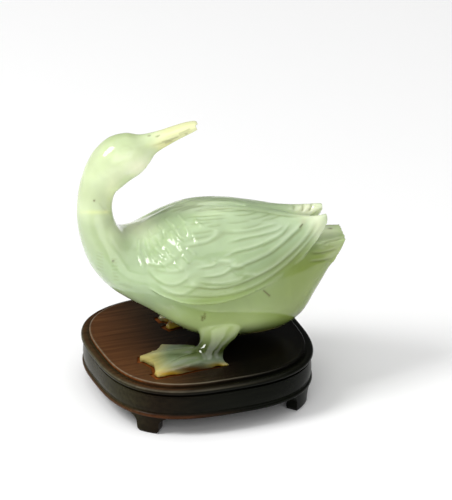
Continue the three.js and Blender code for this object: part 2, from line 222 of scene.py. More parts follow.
wing_thickness = (7, 2.4)
wing_swell = 1.1
wing_rim, rim_width, rim_start, rim_full = 0.8, 0.07, 0.2, 0.4
shoulder_blend, shoulder_sink, shoulder_top_sink = 0.38, 3.2, 0.7
shoulder_squareness, wing_squareness = 1.55, 1.97
tuck_start, tip_tuck = 0.5, 0.8
far_wing_drop = 0.25
wing_net = (150, 60)


def wing_place(s, t, outer):
    low, top = smooth_table(wing_lower_edge, s).T, smooth_table(wing_upper_edge, s).T
    shoulder = ease(s, 0, shoulder_blend)
    squareness = shoulder_squareness + (wing_squareness - shoulder_squareness) * shoulder
    angle = t * (1 + tip_tuck * ease(s, tuck_start, 1)) * math.pi / 2
    sink = shoulder_sink * (1 - shoulder) * (1 - shoulder_top_sink * (1 - t))
    thickness = wing_thickness[0] + (wing_thickness[1] - wing_thickness[0]) * s
    rim = wing_rim * bell(t, rim_width) * ease(s, rim_start, rim_full)
    out = np.where(outer, (wing_swell + rim) * shoulder - sink, -thickness)
    return np.stack([
        low[0] + (top[0] - low[0]) * t,
        top[1] + (low[1] - top[1]) * squared(np.cos(angle), squareness) - out * np.cos(angle),
        low[2] + (top[2] - low[2]) * squared(np.sin(angle), squareness) + out * np.sin(angle),
    ], 1)


def wing(side, drop):
    def place(u, v, w):
        return wing_place(u, v, w > 0.5) * (1, side, 1) - (0, 0, drop)
    return slab(place, *wing_net)


# Tail feathers: layers under one another, each wider and shorter than the one above
tail_layers = 3
tail_ends = (68.2, 66.0, 63.6, 60.0)
tail_top, tail_root, tail_depth, tail_half = 46.9, 44, 4.5, 8.3
tail_widening, tail_flare, tail_underside = 0.35, 0.25, 0.94
tail_crown, tail_root_rise = 0.9, 0.5
tail_net = (24, 16)


def tail_layer(k):
    def place(u, v, w):
        end = np.where(w > 0.5, tail_ends[k], tail_ends[k + 1])
        widest = (tail_half + tail_widening * k) * (1 + tail_flare - tail_flare * u)
        half = widest * np.where(w > 0.5, 1, tail_underside)
        crown = tail_crown * (1 - (2 * v - 1) ** 2)
        z = tail_top - tail_depth * (k + 1 - w) + crown * w + tail_root_rise * (1 - u)
        return np.stack([tail_root + (end - tail_root) * u, half * (2 * v - 1), z], 1)
    return slab(place, *tail_net)


# Legs and webbed feet, drawn for the near side. Leg sections from the foot up: middle, then half length and
# half width. A toe tapers from the ankle to a blunt tip, and a sheet of web joins the toes and the heel.
sole = 0.7
ankle, heel = np.array((1.5, -26.4)), (10.5, -31.6)
leg_rows = [(1.5, -26.6, -0.5, 6.8, 5.4), (2.6, -26.0, 5.5, 6.3, 5.3), (6.6, -23.6, 11.0, 8.6, 6.0),
            (9.0, -18.5, 19.0, 12.5, 8.0)]
near_toes = [(-17.0, -9.2), (-28.5, -19.2), (-24.5, -36.8)]
far_toes = [(-26.2, -10.4), (-28.3, -19.5), (-25.5, -34.5)]
far_foot_back = 15
toe_half, toe_taper, toe_blunting, toe_tip_power = 3.6, 0.3, 0.35, 6
toe_height, toe_fall, toe_fall_speed = 7.4, 4.0, 1.2
inner_web, outer_web = [(5.5, -24.6), (-4.0, -20.0), (-9.5, -15.4)], [(-13.5, -36.6), (-3.0, -33.4)]
web_hollow = 0.1
web_thickness, web_swell, web_swell_reach, heel_thickness = 2.6, 3.0, 28, 0.9
leg_net, toe_net = (24, 32), (40, 32)


def leg_ring(t, angle):
    x, y, z, along_x, along_y = smooth_table(leg_rows, t).T
    return np.stack([x + along_x * np.cos(angle), y + along_y * np.sin(angle), z], 1)


def toe_reach(tip):
    """A toe's length from the ankle, and the way that it points."""
    reach = np.hypot(*(np.array(tip) - ankle))
    return reach, (np.array(tip) - ankle) / reach


def toe_ring(tip):
    reach, ahead = toe_reach(tip)

    def ring(t, angle):
        blunt = 1 - toe_blunting * t ** toe_tip_power
        side = np.cos(angle) * toe_half * (1 - toe_taper * t) * blunt
        height = (toe_height - toe_fall * np.minimum(toe_fall_speed * t, 1)) * blunt
        return np.stack([
            ankle[0] + ahead[0] * reach * t - ahead[1] * side,
            ankle[1] + ahead[1] * reach * t + ahead[0] * side,
            np.maximum(np.sin(angle), 0) * height - sole,
        ], 1)
    return ring


def foot_outline(toes):
    def hollow(a, b):
        return tuple((np.array(a) + np.array(b)) / 2 * (1 - web_hollow) + ankle * web_hollow)
    inner, middle, outer = toes
    front = [inner, hollow(inner, middle), middle, hollow(middle, outer), outer]
    return [heel] + inner_web + front + outer_web


def web(toes):
    bm = bmesh.new()
    bottom = bm.faces.new([bm.verts.new((x, y, -sole)) for x, y in foot_outline(toes)])
    for v in pulled_out(bm, [bottom]):
        away = math.hypot(v.co.x - ankle[0], v.co.y - ankle[1])
        thickness = web_thickness + web_swell * max(1 - away / web_swell_reach, 0)
        v.co.z = (thickness if v.co.x < heel[0] else heel_thickness) - sole
    bmesh.ops.triangulate(bm, faces=bm.faces[:])
    bmesh.ops.recalc_face_normals(bm, faces=bm.faces)
    return bm


def foot(toes):
    return [ringed(leg_ring, *leg_net), web(toes)] + [ringed(toe_ring(tip), *toe_net) for tip in toes]


def mirrored(bm, back):
    bmesh.ops.scale(bm, vec=(1, -1, 1), verts=bm.verts)
    bmesh.ops.translate(bm, vec=(back, 0, 0), verts=bm.verts)
    bmesh.ops.reverse_faces(bm, faces=bm.faces)
    return bm


def as_object(name, bm):
    mesh = bpy.data.meshes.new(name)
    bm.to_mesh(mesh)
    bm.free()
    return in_scene(name, mesh)


def as_shown(made):
    """Makes what an object's modifiers show its own mesh."""
    depsgraph = bpy.context.evaluated_depsgraph_get()
    mesh = bpy.data.meshes.new_from_object(made.evaluated_get(depsgraph))
    made.modifiers.clear()
    made.data = mesh
    return mesh


# The shells are joined into one skin and rubbed down. The hollows between the neck's foot and each wing, and
# the ankles, are rubbed softer than the rest: middle and reach in millimetres.
skin_fineness = 0.00058
soft_places = [((-34, -9, 52), 15), ((-34, 9, 52), 15), ((4, -27, 8), 10), ((4 + far_foot_back, 27, 8), 10)]
soft_passes, last_passes, rubbing = 40, 3, 0.5


def rub(bm, verts, passes):
    for _ in range(passes):
        bmesh.ops.smooth_vert(bm, verts=verts, factor=rubbing,
                              use_axis_x=True, use_axis_y=True, use_axis_z=True)


shells = [ringed(torso_ring, *torso_net), wing(1, 0), wing(-1, far_wing_drop)]
shells += [tail_layer(k) for k in range(tail_layers)]
shells += foot(near_toes) + [mirrored(shell, far_foot_back) for shell in foot(far_toes)]
carrier = bpy.data.meshes.new("carrier")
together = bmesh.new()
for shell in shells:
    shell.to_mesh(carrier)
    together.from_mesh(carrier)
    shell.free()
bpy.data.meshes.remove(carrier)
move_to(together, in_frame(places(together)))
duck = as_object("duck", together)
remesh = duck.modifiers.new("remesh", "REMESH")
remesh.mode = "VOXEL"
remesh.voxel_size = skin_fineness
remesh.adaptivity = 0
skin = as_shown(duck)

bm = bmesh.new()
bm.from_mesh(skin)
bm.verts.ensure_lookup_table()
for middle, reach in soft_places:
    away = np.linalg.norm(in_drawing(places(bm)) - middle, axis=1)
    rub(bm, [bm.verts[i] for i in np.where(away < reach)[0]], soft_passes)
rub(bm, bm.verts, last_passes)
bm.to_mesh(skin)
bm.normal_update()
count = len(bm.verts)
drawn = in_drawing(places(bm))
normals = np.array([v.normal for v in bm.verts])
normals[:, 0], normals[:, 1] = turned(normals[:, 0], normals[:, 1], -duck_turn)
bm.free()

# Feather edges on the wings, as shares of the wing's length and width: name, height in mm, points
feather_edges = [
    ("rim 1", 0.30, [(.22, .05), (.30, .075), (.38, .09), (.46, .08), (.54, .075), (.62, .08), (.70, .095),
                     (.78, .13), (.86, .20), (.93, .30)]),
    ("rim 2", 0.50, [(.30, .16), (.373, .171), (.433, .150), (.487, .147), (.553, .158), (.627, .156),
                     (.677, .168), (.735, .190), (.79, .234), (.836, .328), (.87, .45)]),
    ("rim 3", 0.48, [(.47, .27), (.521, .305), (.571, .311), (.617, .311), (.669, .331), (.705, .355),
                     (.754, .408), (.79, .50)]),
    ("rim 4", 0.40, [(.45, .41), (.501, .440), (.569, .435), (.623, .428), (.663, .431), (.691, .46),
                     (.73, .54)]),
    ("rim 5", 0.32, [(.46, .53), (.535, .552), (.597, .528), (.661, .50), (.69, .54)]),
    ("rim 6", 0.26, [(.45, .635), (.539, .625), (.613, .60), (.67, .59)]),
    ("covert 1", 0.34, [(.36, .33), (.410, .338), (.430, .350), (.436, .375), (.433, .401)]),
    ("covert 2", 0.36, [(.37, .25), (.445, .255), (.475, .281), (.484, .31), (.478, .34)]),
    ("covert 3", 0.36, [(.37, .21), (.447, .180), (.505, .177), (.522, .20), (.518, .235)]),
    ("arc A", 0.22, [(.20, .31), (.232, .294), (.269, .298), (.311, .318), (.329, .388), (.331, .441)]),
    ("arc B", 0.24, [(.235, .10), (.271, .09), (.321, .08), (.359, .137), (.373, .194), (.377, .281)]),
    ("arc C", 0.24, [(.176, .241), (.21, .19), (.250, .161), (.290, .161), (.321, .197), (.347, .274),
                     (.355, .368)]),
    ("arc D", 0.20, [(.13, .38), (.16, .33), (.20, .33), (.25, .37), (.28, .44), (.30, .50)]),
    ("scapular", 0.36, [(.30, .55), (.347, .553), (.397, .565), (.431, .602), (.446, .652), (.448, .69)]),
]
wing_scratches = [
    [(.291, .926), (.389, .86), (.479, .84)], [(.329, .836), (.409, .803), (.485, .806)],
    [(.321, .79), (.367, .77), (.43, .765)], [(.393, .722), (.425, .719), (.457, .726)],
    [(.329, .669), (.381, .662), (.429, .672)], [(.317, .612), (.369, .612), (.419, .625)],
    [(.43, .92), (.50, .90), (.57, .92)], [(.50, .84), (.56, .83), (.62, .85)],
    [(.55, .76), (.61, .75), (.66, .78)], [(.47, .74), (.52, .735), (.57, .74)],
    [(.60, .69), (.65, .69), (.70, .72)], [(.40, .95), (.46, .94), (.52, .96)],
    [(.52, .66), (.57, .65), (.62, .66)],
]
line_points = 36
whole = np.linspace(0, 1, line_points)
# A feather's edge rises to a crest above its line and falls to a groove below it; painted light lies on the
# crest and painted shade in the groove
edge_reach, edge_fade, edge_ends, edge_half = 7, 2, 0.2, 0.5
width_share_above = 0.03
crest_height, crest_width, groove_depth, groove_width = 0.75, 3, 0.45, 1.4
painted_crest_light, light_above, light_width = 1.2, 0.7, 0.7
painted_groove_shade, dark_below, dark_width = 2, 0.6, 0.55
scratch_reach, scratch_ends, scratch_width, scratch_depth, scratch_painted_shade = 3, 0.3, 0.6, 0.2, 0.6


def line_gap(at, line):
    """How far each place is from a line, how far along it the nearest point is, and the way there."""
    start, run = line[:-1], np.diff(line, axis=0)
    share = ((at[:, None, :] - start[None]) * run[None]).sum(2) / (run ** 2).sum(1)
    share = np.clip(share, 0, 1)
    away = at[:, None, :] - (start[None] + share[:, :, None] * run[None])
    distance = np.linalg.norm(away, axis=2)
    nearest = distance.argmin(1)
    rows = np.arange(len(at))
    return distance[rows, nearest], nearest + share[rows, nearest], away[rows, nearest]


def near_line(at, line, margin):
    """The places that lie within the line's box, grown by a margin."""
    return np.where(((at > line.min(0) - margin) & (at < line.max(0) + margin)).all(1))[0]


def on_wing(points, higher=0):
    """A smooth line over a wing's outside, moved up by a share of the wing's width."""
    along, across = smooth_table(points, whole).T
    return wing_place(along, np.minimum(across + higher, 1), np.ones(line_points, bool))


def ends_faded(at, share):
    """1 along a line, with a smooth fall to 0 over a share of its length at either end."""
    return ease(at, 0, share * line_points) * ease(line_points - 1 - at, 0, share * line_points)


def carve_feather_edge(skin_places, rise, points):
    line = on_wing(points)
    upwards = on_wing(points, width_share_above) - line
    upwards /= np.linalg.norm(upwards, axis=1)[:, None]
    close = near_line(skin_places, line, edge_reach)
    gap, at, away = line_gap(skin_places[close], line)
    up = (away * upwards[at.astype(int)]).sum(1)
    full = rise * ends_faded(at, edge_ends) * ease(edge_reach - gap, 0, edge_fade)
    above = ease(up, -edge_half, edge_half)
    crest = crest_height * above * np.exp(-gap / crest_width)
    groove = groove_depth * (1 - above) * np.exp(-gap / groove_width)
    # Painted light on the crest and painted shade in the groove below it
    light = painted_crest_light * bell(up - light_above, light_width)
    dark = painted_groove_shade * bell(up + dark_below, dark_width)
    height[close] += full * (crest - groove)
    painted_shading[close] += full * (light - dark)


def carve_scratch(skin_places, points):
    line = on_wing(points)
    close = near_line(skin_places, line, scratch_reach)
    gap, at, _ = line_gap(skin_places[close], line)
    cut = ends_faded(at, scratch_ends) * bell(gap, scratch_width)
    height[close] -= scratch_depth * cut
    # Painted shade in the scratch
    painted_shading[close] -= scratch_painted_shade * cut


# Painted light (above 0) and painted shade (below 0) for each place on the skin, laid into its colour at the
# end
height = np.zeros(count)
painted_shading = np.zeros(count)
for side in (-1, 1):
    as_near_side = drawn * (1, -side, 1)
    for _, rise, points in feather_edges:
        carve_feather_edge(as_near_side, rise, points)
    for points in wing_scratches:
        carve_scratch(as_near_side, points)

# Lines on the side that the photograph shows, drawn in its pixels: name, height in mm, half width, points
shown_lines = [
    ("shoulder ridge", 0.45, 3.0, [(136, 232), (146, 224.6), (157, 217.6), (167, 211.6), (178, 206)]),
    ("neck crease", -0.1, 1.0, [(100, 203), (103, 207), (107, 211), (113, 214)]),
    ("mouth", -0.25, 0.8, [(154, 146.5), (164, 143.6), (175.5, 139), (184, 135), (192, 131.6)]),
    ("bill ridge", 0.2, 1.6, [(160, 138), (172, 133.5), (184, 128.5), (194, 125)]),
    ("bill scratch 1", -0.08, 0.7, [(166, 139), (174, 136), (182, 132.6)]),
    ("bill scratch 2", -0.08, 0.7, [(171, 138.4), (180, 134.6), (190, 130)]),
    ("bill scratch 3", -0.07, 0.7, [(178, 131), (186, 128), (193, 126.4)]),
    ("lower bill edge", -0.12, 0.8, [(160, 147), (168, 144.6), (176, 141.2)]),
    ("middle toe ridge", 0.3, 2.0, [(200, 348), (186, 350.5), (170, 352.8), (156, 355), (143, 357.4)]),
    ("outer toe ridge", 0.3, 2.2, [(197, 357), (183, 360.6), (170, 364), (161, 368.6), (156, 372)]),
    ("inner toe ridge", 0.2, 1.8, [(194, 342.4), (180, 342.4), (167, 343)]),
    ("toe scratch 1", -0.18, 0.8, [(143, 360.6), (154, 359.4), (168, 356.4)]),
    ("toe scratch 2", -0.18, 0.8, [(145, 362.6), (156, 361.4), (166, 359)]),
    ("toe scratch 3", -0.16, 0.8, [(149, 366), (158, 364), (167, 361)]),
    ("nostril", -0.35, 0.9, [(157, 137.6), (159.5, 136.6)]),
    ("front nostril", -0.3, 0.9, [(149, 136.6), (151, 136)]),
    ("eye ring above", -0.05, 1.2, [(121, 150), (124, 147.6), (128, 147), (132, 149), (133.4, 152)]),
    ("eye ring below", -0.04, 1.2, [(121, 151), (123, 154.6), (127.6, 156), (132, 154.4)]),
    ("tail cut 1", -0.55, 1.1, [(322, 244.6), (329, 241.6), (335, 240.2), (341, 237.8)]),
    ("tail cut 2", -0.6, 1.1, [(311, 253), (320, 253), (328, 251.4), (336, 249)]),
    ("tail cut 3", -0.6, 1.1, [(311, 261.4), (319, 260.8), (326, 259.8), (332, 258.4)]),
    ("crest strand 1", -0.25, 1.1, [(163, 214), (173, 209), (184, 205.6)]),
    ("crest strand 2", -0.25, 1.1, [(172, 213), (184, 208), (197, 204.6)]),
    ("crest strand 3", -0.25, 1.1, [(180, 212), (191, 208), (203, 205.6)]),
    ("crest strand 4", -0.2, 1.0, [(196, 212), (212, 209), (228, 208)]),
    ("crest strand 5", -0.2, 1.0, [(150, 221), (160, 215.6), (170, 211)]),
    ("far wing line", -0.2, 1.0, [(232, 209), (255, 211), (280, 215), (296, 217)]),
    ("far wing step 1", -0.8, 1.0, [(303, 204), (303.4, 208), (302, 211)]),
    ("far wing step 2", -0.9, 1.1, [(311, 203), (311.4, 207), (309, 211)]),
    ("far wing step 3", -0.6, 1.0, [(294, 205), (294, 209)]),
]
# Combed rows on the breast: name, height in mm, how many, the first line's two ends, and each end's step
breast_combs = [
    ("breast comb near the edge", -0.16, 6, (97, 252), (104.5, 254.4), (0.2, 3.3), (0, 3.3)),
    ("breast comb", -0.16, 7, (112, 259), (117.6, 259.6), (0.4, 3.4), (0.4, 3.4)),
    ("low breast comb", -0.12, 3, (120, 284), (127, 284), (3, 1.5), (3, 1.5)),
]
comb_half_width = 0.8
for name, rise, number, start, end, start_step, end_step in breast_combs:
    for k in range(number):
        ends = np.array((start, end)) + k * np.array((start_step, end_step))
        shown_lines.append((name, rise, comb_half_width, ends))
# Tufts of feathers on the shoulder, each from its root X and Y to its tip X and Y
shoulder_tufts = [
    (140, 243, 139.6, 252), (147.4, 240.5, 149.4, 248), (156.4, 237, 163, 247.6),
    (163.8, 233.6, 166.4, 240.4), (168.4, 234.6, 169.4, 239.6), (171.6, 234.4, 174, 241),
    (174.4, 228.4, 177.4, 234.6), (178, 233, 180.4, 238.6), (179, 237, 185.4, 240.6),
    (180, 246, 182.4, 251.4), (151.4, 241, 156.4, 249), (157, 249, 164, 256),
    (152.6, 255.4, 156, 260), (172, 255.6, 176.4, 258), (188.4, 249, 193, 253), (186, 229, 189, 236),
    (145, 252, 148.4, 259), (165.4, 246, 170.4, 254), (184, 256, 188.6, 262), (193.6, 236, 197, 243),
    (160, 228, 165, 233), (150, 232, 154, 238), (168, 222, 174, 228), (179, 218, 185, 224),
    (196, 222, 202, 228), (140, 258, 143, 266), (161, 262, 167, 268), (176, 264, 182, 270),
]
# Rounder places: name, middle, reach, height in mm
shown_swells = [
    ("breast", (128, 246), (20, 20), 2.2), ("shoulder", (175, 226), (26, 15), 1.4),
    ("outer toes", (172, 357.5), (26, 7), 1.6), ("middle toe", (186, 347.5), (18, 4), 0.9),
]
edge_on, face_on = 0.02, 0.3
line_reach, end_depth, line_ends = 3, 0.35, 0.2
painted_line_light, painted_line_shade = 0.2, 3
tuft_points, tuft_reach, tuft_height, tuft_painted_light = 12, 6, 0.5, 0.12
tuft_steep_side, tuft_soft_side = 1.2, 2.4


def in_picture(points):
    """Where points in the shared frame fall in the photograph, in its pixels."""
    from_middle = np.asarray(points) - np.array(frame_middle)
    return np.stack([frame_width / 2 + from_middle @ np.array(to_right) * pixels_per_metre,
                     frame_height / 2 - from_middle @ np.array(to_top) * pixels_per_metre], 1)


def spot(middle, reach):
    """1 at a place in the picture, fading out over the reach in pixels."""
    return np.exp(-(((seen - middle) / reach) ** 2).sum(1)) * facing


seen = in_picture(in_frame(drawn))
frame_normals = (in_frame(drawn + normals) - in_frame(drawn)) * mm_per_metre
facing = ease(frame_normals @ np.array(to_viewer), edge_on, face_on)
for _, rise, width, points in shown_lines:
    line = smooth_table(points, whole)
    close = near_line(seen, line, line_reach * width)
    gap, at, _ = line_gap(seen[close], line)
    depth = end_depth + (1 - end_depth) * ends_faded(at, line_ends)
    cut = facing[close] * bell(gap, width) * depth
    height[close] += rise * cut
    # Painted light on raised lines and painted shade in cut ones
    painted_shading[close] += cut * (painted_line_light if rise > 0 else -min(1, -painted_line_shade * rise))
for x0, y0, x1, y1 in shoulder_tufts:
    line = np.linspace((x0, y0), (x1, y1), tuft_points)
    across = np.array((y0 - y1, x1 - x0)) / math.hypot(x1 - x0, y1 - y0)
    close = near_line(seen, line, tuft_reach)
    gap, _, away = line_gap(seen[close], line)
    bump = facing[close] * bell(gap, np.where(away @ across > 0, tuft_steep_side, tuft_soft_side))
    height[close] += tuft_height * bump
    # Painted highlight on each tuft
    painted_shading[close] += tuft_painted_light * bump
for _, middle, reach, rise in shown_swells:
    height += rise * spot(middle, reach)
carved = drawn + normals * height[:, None]

# The bill's tip is broken off nearly square, with a notch and small waves in the break
bill_end, bill_underside, bill_tip_reach = 197.4, 140, (190, 206)
notch_row, notch_depth, notch_width = 127.4, 1.8, 1.3
break_waves, wave_depth = 2.1, 0.5
column, row = seen.T
break_line = bill_end - notch_depth * bell(row - notch_row, notch_width)
break_line -= wave_depth * np.sin(row * break_waves)
on_bill_tip = (row < bill_underside) & (column > bill_tip_reach[0]) & (column < bill_tip_reach[1])
carved[:, 0] -= np.maximum(column - break_line, 0) * on_bill_tip / pixels_per_mm


def shade_smooth(mesh):
    mesh.polygons.foreach_set("use_smooth", np.ones(len(mesh.polygons), bool))


skin.vertices.foreach_set("co", in_frame(carved).astype(np.float32).ravel())
shade_smooth(skin)
skin.update()


# Jade. The stone's tones and stains lie in a colour attribute, together with painted light and shade, and
# soft clouds run all through it.
def linear(colour):
    c = np.asarray(colour, float) / 255
    return np.where(c <= 0.04045, c / 12.92, ((c + 0.055) / 1.055) ** 2.4)


def blend(base, colour, share):
    share = np.asarray(share, float)[:, None]
    return base * (1 - share) + linear(colour) * share


def toned(base, tones, measures):
    """Lays tones one over another, each as far as its measures rise from none to full."""
    for _, colour, depth, rises in tones:
        share = np.prod([ease(measures[what], none, full) for what, none, full in rises], axis=0)
        base = blend(base, colour, share * depth)
    return base


def write_colour(mesh, name, colour):
    values = np.ones((len(colour), 4), np.float32)
    values[:, :3] = colour
    mesh.color_attributes.new(name, "FLOAT_COLOR", "POINT").data.foreach_set("color", values.ravel())


def set_inputs(node, values):
    for name, value in values.items():
        node.inputs[name].default_value = value


def clouded(name, attribute, stretch, cloud, darkest, lightest):
    """A material whose colour attribute is made darker and lighter by clouds, stretched along X, Y and Z."""
    made = bpy.data.materials.new(name)
    made.use_nodes = True
    nodes, links = made.node_tree.nodes, made.node_tree.links
    where = nodes.new("ShaderNodeTexCoord")
    scale = nodes.new("ShaderNodeMapping")
    set_inputs(scale, {"Scale": stretch})
    clouds = nodes.new("ShaderNodeTexNoise")
    set_inputs(clouds, {"Scale": 1, **cloud})
    contrast = nodes.new("ShaderNodeMapRange")
    set_inputs(contrast, {"From Min": 0.3, "From Max": 0.7, "To Min": darkest, "To Max": lightest})
    tone = nodes.new("ShaderNodeAttribute")
    tone.attribute_name = attribute
    mixed = nodes.new("ShaderNodeVectorMath")
    mixed.operation = "MULTIPLY"
    shader = nodes["Principled BSDF"]
    links.new(where.outputs["Object"], scale.inputs["Vector"])
    links.new(scale.outputs["Vector"], clouds.inputs["Vector"])
    links.new(clouds.outputs["Fac"], contrast.inputs["Value"])
    links.new(tone.outputs["Color"], mixed.inputs[0])
    links.new(contrast.outputs["Result"], mixed.inputs[1])
    links.new(mixed.outputs["Vector"], shader.inputs["Base Color"])
    return made, shader


jade, jade_shader = clouded("jade", "tone", (55, 55, 55), {"Detail": 5, "Distortion": 0.6}, 0.9, 1.08)
set_inputs(jade_shader, {
    "Roughness": 0.08, "IOR": 1.6, "Subsurface Weight": 0.5, "Subsurface Radius": (1.0, 1.0, 0.7),
    "Subsurface Scale": 0.006,
})

jade_colour = (172, 193, 150)
# Broad tones: name, colour, depth, and the places where each comes in, from none to full in mm
body_tones = [
    ("belly", (144, 165, 90), 0.85, [("z", 50, 32), ("x", -26, 0)]),
    ("low belly", (200, 219, 150), 0.85, [("z", 32, 14), ("x", 42, 18)]),
    ("under the tail", (136, 154, 78), 0.95, [("x", 20, 46), ("z", 54, 40)]),
    ("foot of the neck", (176, 193, 150), 1, [("z", 46, 58), ("x", -26, -40)]),
    ("neck", (205, 219, 176), 1, [("z", 62, 72), ("x", -4, -16)]),
    ("outer side of the neck", (190, 204, 158), 0.8, [("z", 70, 78), ("z", 88, 78), ("x", -30, -44)]),
    ("head", (216, 229, 184), 0.5, [("z", 82, 92), ("x", -8, -20)]),
    ("crown", (176, 192, 144), 0.8, [("z", 97, 104), ("x", -16, -30)]),
    ("bill", (224, 227, 176), 1, [("x", -22, -12), ("z", 88, 94)]),
]
foot_tones = [
    # The legs' dark olive-brown is partly the stone's russet skin and partly painted shade, as the legs
    # stand in shadow
    ("foot", (60, 72, 26), 1, [("z", 19, 7)]),
    ("low on the foot", (122, 136, 108), 0.9, [("z", 19, 7), ("z", 6.5, 2.5)]),
    ("toe tips", (176, 160, 90), 0.85, [("z", 19, 7), ("from the ankle", 17, 28), ("z", 11, 5)]),
]
# Tones at places in the picture: name, colour, depth, middle and reach in pixels
body_spots = [
    ("lower bill", (238, 236, 170), 0.7, (165, 146), (12, 4)),
    # Painted light: the throat and the middle of the neck are painted paler, for the glow of light through
    # the stone
    ("painted glow in the throat", (252, 255, 222), 0.9, (144, 170), (18, 12)),
    ("painted glow in the middle of the neck", (246, 252, 206), 0.8, (116, 196), (9, 18)),
    ("neck crease", (232, 240, 172), 0.5, (98, 212.5), (16, 2.0)),
    ("light in the neck crease", (244, 248, 190), 0.8, (107, 212), (2.6, 1.6)),
    # Painted light: paler in the hollow beside the neck's foot, against the shade that falls there
    ("painted light in the hollow by the shoulder", (240, 250, 212), 1, (134, 226), (22, 14)),
    # Painted light: the top of the shoulder is painted paler against the grey of its grazing reflection
    ("painted light on the top of the shoulder", (220, 236, 192), 1, (185, 205), (36, 7)),
    ("back half of the wing", (196, 216, 180), 0.5, (280, 232), (16, 12)),
    ("wing tip", (232, 242, 208), 1, (318, 224), (9, 14)),
    ("far wing tip", (236, 242, 206), 1, (308, 209), (14, 8)),
    ("crest of the wing", (208, 226, 188), 0.8, (196, 208), (30, 7)),
    ("top of the tail", (204, 214, 178), 0.7, (330, 231), (12, 8)),
    ("end of the tail", (176, 188, 138), 0.7, (334, 250), (10, 10)),
    ("dull mark by the wing tip", (185, 184, 150), 0.5, (303, 222), (3, 2.5)),
]
foot_spots = [
    # Painted shadow along the outer web's lower edge
    ("painted shadow along the outer web", (96, 58, 6), 1, (193, 368.5), (17, 3.4)),
    ("edge of the outer toe", (186, 152, 40), 1, (170, 373), (15, 2.6)),
    ("edge of the heel", (150, 126, 22), 1, (221, 365), (12, 2.8)),
    ("far foot", (132, 100, 10), 1, (171, 321), (12, 7)),
    ("edge of the far foot", (176, 146, 22), 1, (176, 328), (12, 3)),
    ("light on the far foot", (226, 214, 170), 1, (159, 313), (4, 3)),
]
# Brown specks in the stone, as short lines in the picture: name, depth, lines
specks = [
    ("flecks", 0.8, [
        [(205, 313), (204.6, 318.4)], [(202.4, 316), (202.4, 320)], [(263.6, 290.4), (269.4, 295.6)],
        [(113.6, 261), (114.6, 261)], [(95, 200.8), (96, 200.8)], [(328.6, 228.6), (331.4, 228.4)],
        [(299.6, 227.4), (302, 224.6)],
    ]),
    ("bill stains", 0.35, [
        [(163, 142.8), (170, 141.2), (178, 138.2)], [(166, 144), (172, 141.8)],
        [(186, 135.4), (187.6, 134.8)], [(156.4, 137.4), (160, 136.4)], [(148.6, 136.8), (150.4, 136.2)],
        [(180, 134.6), (190, 130)],
    ]),
]
speck_colour, speck_width, speck_reach = (84, 66, 22), 0.8, 4
# Colours and depths of the painted light on ridges and crests and of the painted shade in grooves and cuts
painted_light_colour, painted_light_depth = (226, 238, 206), 0.5
painted_shade_colour, painted_shade_depth = (118, 126, 66), 0.45

x, y, z = carved.T
measures = {"x": x, "z": z, "from the ankle": np.hypot(x - ankle[0], np.abs(y) + ankle[1])}
on_foot = ease(z, 19, 7)
colour = np.tile(linear(jade_colour), (count, 1))
colour = toned(colour, body_tones, measures)
for _, tint, depth, middle, reach in body_spots:
    colour = blend(colour, tint, spot(middle, reach) * depth)
colour = toned(colour, foot_tones, measures)
for _, tint, depth, middle, reach in foot_spots:
    colour = blend(colour, tint, spot(middle, reach) * on_foot * depth)
for _, depth, lines in specks:
    for points in lines:
        line = np.array(points, float)
        close = near_line(seen, line, speck_reach)
        gap, _, _ = line_gap(seen[close], line)
        colour[close] = blend(colour[close], speck_colour, facing[close] * bell(gap, speck_width) * depth)
# Painted light on ridges, crests and tufts; painted shade in grooves, cuts and scratches
colour = blend(colour, painted_light_colour, np.clip(painted_shading, 0, 1) * painted_light_depth)
colour = blend(colour, painted_shade_colour, np.clip(-painted_shading, 0, 1) * painted_shade_depth)
write_colour(skin, "tone", colour)
skin.materials.clear()
skin.materials.append(jade)

most_triangles = 196000
thin = duck.modifiers.new("thin", "DECIMATE")
thin.ratio = most_triangles / (2 * len(skin.polygons))
as_shown(duck)
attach(duck, "root")
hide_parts("jade_duck")

# Wooden stand. One block of dark rosewood, cut to a square with rounded sides and carved with a moulded rim,
# a waist, a bellied apron and four bracket feet. Two sockets in its top follow the duck's feet.
half_length, half_width = 50, 50
plan_squareness = 2.75
foot_height, apron_height, waist_height, rim_thickness, field_rise = 8.6, 11.4, 1.2, 2.4, 1.5
apron_top = foot_height + apron_height
waist_top = apron_top + waist_height
top_height = waist_top + rim_thickness + field_rise
field_level, field_start, field_step = 24.88, 8, 2
# From the middle of the underside round the edge to the middle of the top: inset from the edge, height
stand_profile = [
    (half_length, foot_height), (1.7, foot_height), (0.95, 8.8), (0.62, 9.3), (0.6, 9.9), (0.85, 10.4),
    (1.3, 10.7), (1.45, 11.1), (1.1, 12), (0.9, 14), (0.95, 16), (1.15, 18), (1.3, 19.1), (1.05, 19.4),
    (1.1, 19.8), (1.5, apron_top), (2.5, apron_top), (2.7, 20.3), (2.7, 20.9), (2.3, waist_top),
    (0.9, waist_top), (0.35, 21.4), (0.08, 21.9), (0.05, 22.4), (0.25, 22.95), (0.7, 23.35), (1.4, 23.55),
    (2.4, 23.5), (3.2, 23.3), (3.7, 23.2), (4.0, 23.3), (3.95, 23.8), (3.8, 24.3), (3.85, 24.75),
    (4.15, 25.03), (4.6, top_height), (5.2, 25.04), (5.7, 24.92), (6.3, field_level),
]
stand_profile += [(inset, field_level) for inset in np.arange(field_start, half_length, field_step)]
stand_profile += [(half_length, field_level)]
plan_steps, merge_gap = 240, 1e-4
moulded_edge = 12


def plan_radius(angle):
    c, s = np.abs(np.cos(angle)) / half_length, np.abs(np.sin(angle)) / half_width
    return (c ** plan_squareness + s ** plan_squareness) ** (-1 / plan_squareness)


